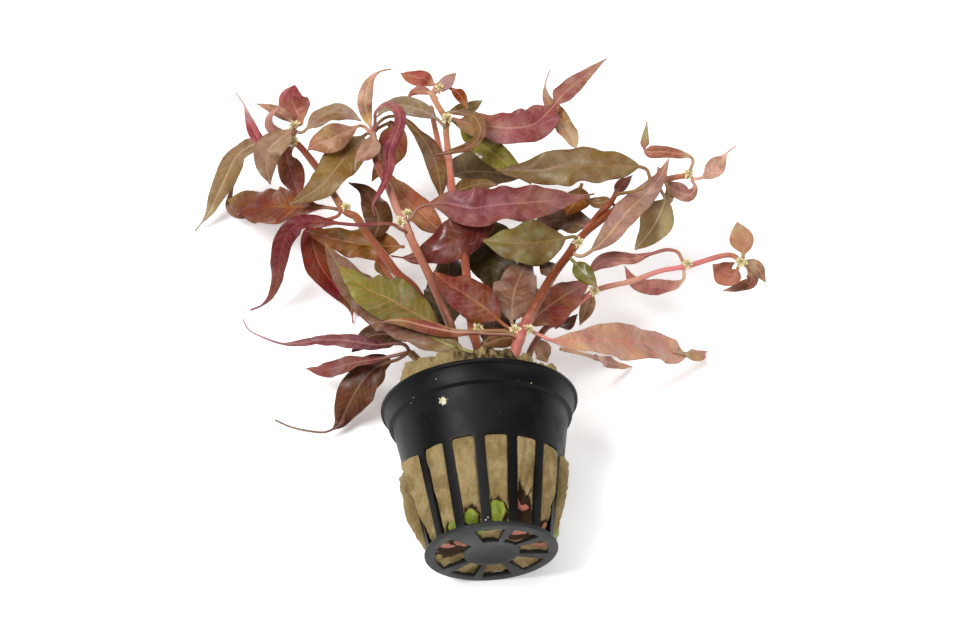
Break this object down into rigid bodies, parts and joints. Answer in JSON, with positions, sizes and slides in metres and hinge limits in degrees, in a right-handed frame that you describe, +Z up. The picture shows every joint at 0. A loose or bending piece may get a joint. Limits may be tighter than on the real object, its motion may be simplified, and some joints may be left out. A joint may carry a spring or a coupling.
{
  "type": "potted aquarium plant",
  "caption": "Red and olive leaved aquarium stem plant rooted in rock wool in a black slotted net pot, lying on its side.",
  "frame": {"origin": "middle of the footprint, on the surface that the plant lies on", "axes": "+Y from the pot's base towards the leaf tips, +Z up, +X to the right seen from the pot's base"},
  "size_m": [0.1712, 0.1814, 0.0546],
  "materials": {
    "black_plastic": "moulded, semi-matt, with fine scratches",
    "rock_wool": "fibrous mineral wool, wet khaki tan",
    "brown": "satin leaf, brown",
    "crimson": "satin leaf, purple crimson",
    "dark_brown": "satin leaf, dark brown",
    "dark_olive": "satin leaf, dark olive",
    "green": "wet glossy leaf, bright green",
    "grey_olive": "satin leaf, grey olive",
    "magenta": "satin leaf, magenta",
    "mauve": "satin leaf, mauve",
    "olive": "satin leaf, olive",
    "peach": "satin leaf, peach",
    "pink": "satin leaf, pink",
    "red_brown": "satin leaf, red brown",
    "stem_brown": "smooth succulent stem, dark brown",
    "stem_orange": "smooth succulent stem, brown orange",
    "stem_peach": "smooth succulent stem, peach pink",
    "stem_pink": "smooth succulent stem, pink",
    "tan": "satin leaf, tan"
  },
  "bodies": {
    "root": {"net_pot": "black_plastic", "rock_wool": "rock_wool", "right_stem": "stem_pink", "low_right_stem": "stem_pink", "centre_stem": "stem_pink", "mid_left_stem": "stem_peach", "left_stem": "stem_orange", "low_left_stem": "stem_brown", "left_leaf_01": "tan", "left_leaf_02": "pink", "left_leaf_03": "crimson", "left_leaf_04": "mauve", "left_leaf_05": "olive", "left_leaf_06": "red_brown", "left_leaf_07": "dark_olive", "left_leaf_08": "red_brown", "mid_leaf_01": "tan", "mid_leaf_02": "peach", "mid_leaf_03": "olive", "mid_leaf_04": "peach", "mid_leaf_05": "magenta", "mid_leaf_06": "brown", "mid_leaf_07": "crimson", "mid_leaf_08": "brown", "mid_leaf_09": "mauve", "centre_leaf_01": "tan", "centre_leaf_02": "peach", "centre_leaf_03": "magenta", "centre_leaf_04": "grey_olive", "mid_leaf_10": "grey_olive", "centre_leaf_06": "green", "centre_leaf_07": "brown", "centre_leaf_08": "magenta", "centre_leaf_05": "dark_olive", "deep_leaf_01": "dark_olive", "deep_leaf_02": "dark_brown", "right_leaf_01": "tan", "right_leaf_02": "olive", "right_leaf_03": "olive", "right_leaf_04": "tan", "right_leaf_05": "mauve", "right_leaf_06": "olive", "right_leaf_07": "crimson", "right_leaf_08": "peach", "right_leaf_09": "dark_brown", "right_leaf_10": "green", "right_leaf_11": "mauve", "right_leaf_12": "mauve", "right_leaf_13": "olive", "right_leaf_14": "peach", "tip_leaf_01": "tan", "tip_leaf_02": "red_brown", "low_leaf_01": "mauve", "low_leaf_02": "mauve", "low_leaf_03": "mauve", "collar_leaf_01": "mauve", "collar_leaf_02": "pink", "collar_leaf_03": "pink", "collar_leaf_04": "red_brown", "collar_leaf_05": "dark_olive"}
  },
  "joints": []
}
